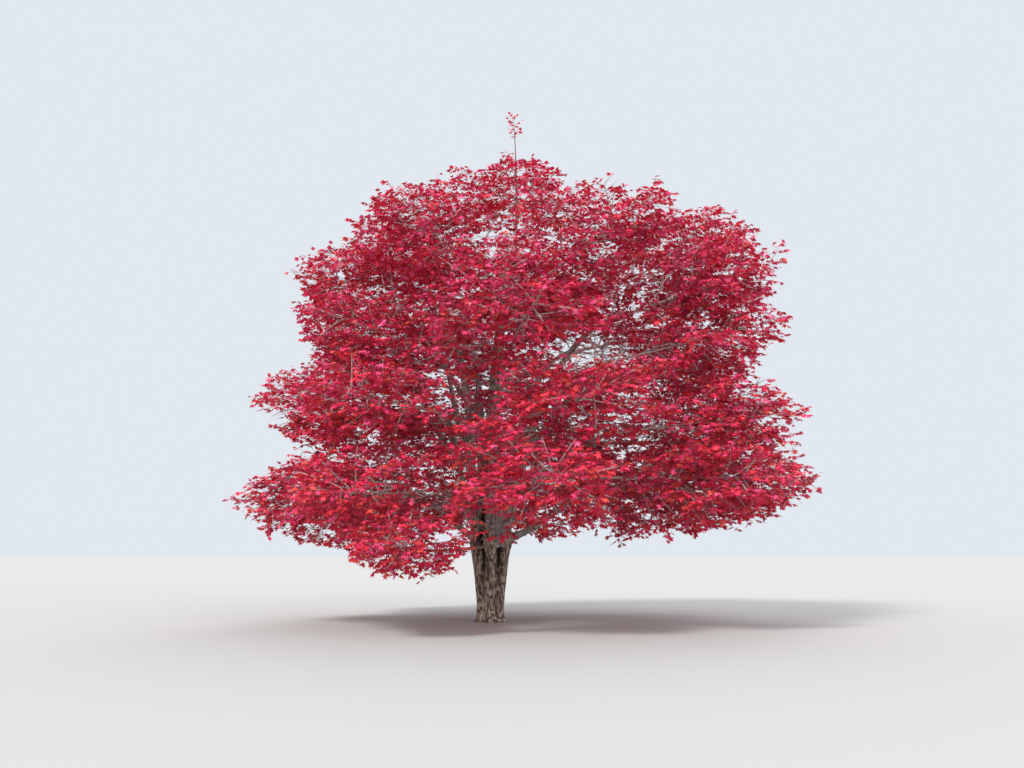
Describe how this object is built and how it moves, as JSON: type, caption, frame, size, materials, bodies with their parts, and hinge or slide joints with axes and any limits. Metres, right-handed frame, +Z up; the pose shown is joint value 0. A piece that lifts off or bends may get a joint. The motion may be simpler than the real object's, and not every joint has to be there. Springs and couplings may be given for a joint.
{
  "type": "red maple tree",
  "caption": "Red maple tree in autumn leaf: a short trunk of fused stems forks into upright limbs under a broad domed crown of red foliage in layered masses.",
  "frame": {"origin": "centre of the trunk's flat cut at ground level", "axes": "+Z up the trunk, +X towards the crown's longer side (right in the picture), -Y towards the camera"},
  "size_m": [13.4409, 12.4168, 12.4349],
  "materials": {
    "bark": "rough",
    "leaves": "matte"
  },
  "bodies": {
    "root": {"trunk": "bark", "main_limb_1": "bark", "main_limb_2": "bark", "main_limb_3": "bark", "main_limb_4": "bark", "main_limb_5": "bark", "middle_bough_1": "bark", "middle_bough_2": "bark", "middle_bough_3": "bark", "middle_bough_4": "bark", "middle_bough_5": "bark", "middle_bough_6": "bark", "low_bough_1": "bark", "low_bough_2": "bark", "low_bough_3": "bark", "low_bough_4": "bark", "low_bough_5": "bark", "low_bough_6": "bark", "low_bough_7": "bark", "skirt_bough_1": "bark", "skirt_bough_2": "bark", "skirt_bough_3": "bark", "skirt_bough_4": "bark", "skirt_bough_5": "bark", "skirt_bough_6": "bark", "skirt_bough_7": "bark", "skirt_bough_8": "bark", "foliage_upper_1": "leaves", "foliage_upper_2": "leaves", "foliage_upper_3": "leaves", "foliage_upper_4": "leaves", "foliage_upper_5": "leaves", "foliage_middle_1": "leaves", "foliage_middle_2": "leaves", "foliage_middle_3": "leaves", "foliage_middle_4": "leaves", "foliage_middle_5": "leaves", "foliage_middle_6": "leaves", "foliage_low_1": "leaves", "foliage_low_2": "leaves", "foliage_low_3": "leaves", "foliage_low_4": "leaves", "foliage_low_5": "leaves", "foliage_low_6": "leaves", "foliage_low_7": "leaves", "foliage_skirt_1": "leaves", "foliage_skirt_2": "leaves", "foliage_skirt_3": "leaves", "foliage_skirt_4": "leaves", "foliage_skirt_5": "leaves", "foliage_skirt_6": "leaves", "foliage_skirt_7": "leaves", "foliage_skirt_8": "leaves", "foliage_high_1": "leaves", "foliage_high_2": "leaves", "foliage_high_3": "leaves", "foliage_high_4": "leaves", "foliage_high_5": "leaves", "foliage_top": "leaves", "foliage_hanging": "leaves"}
  },
  "joints": []
}
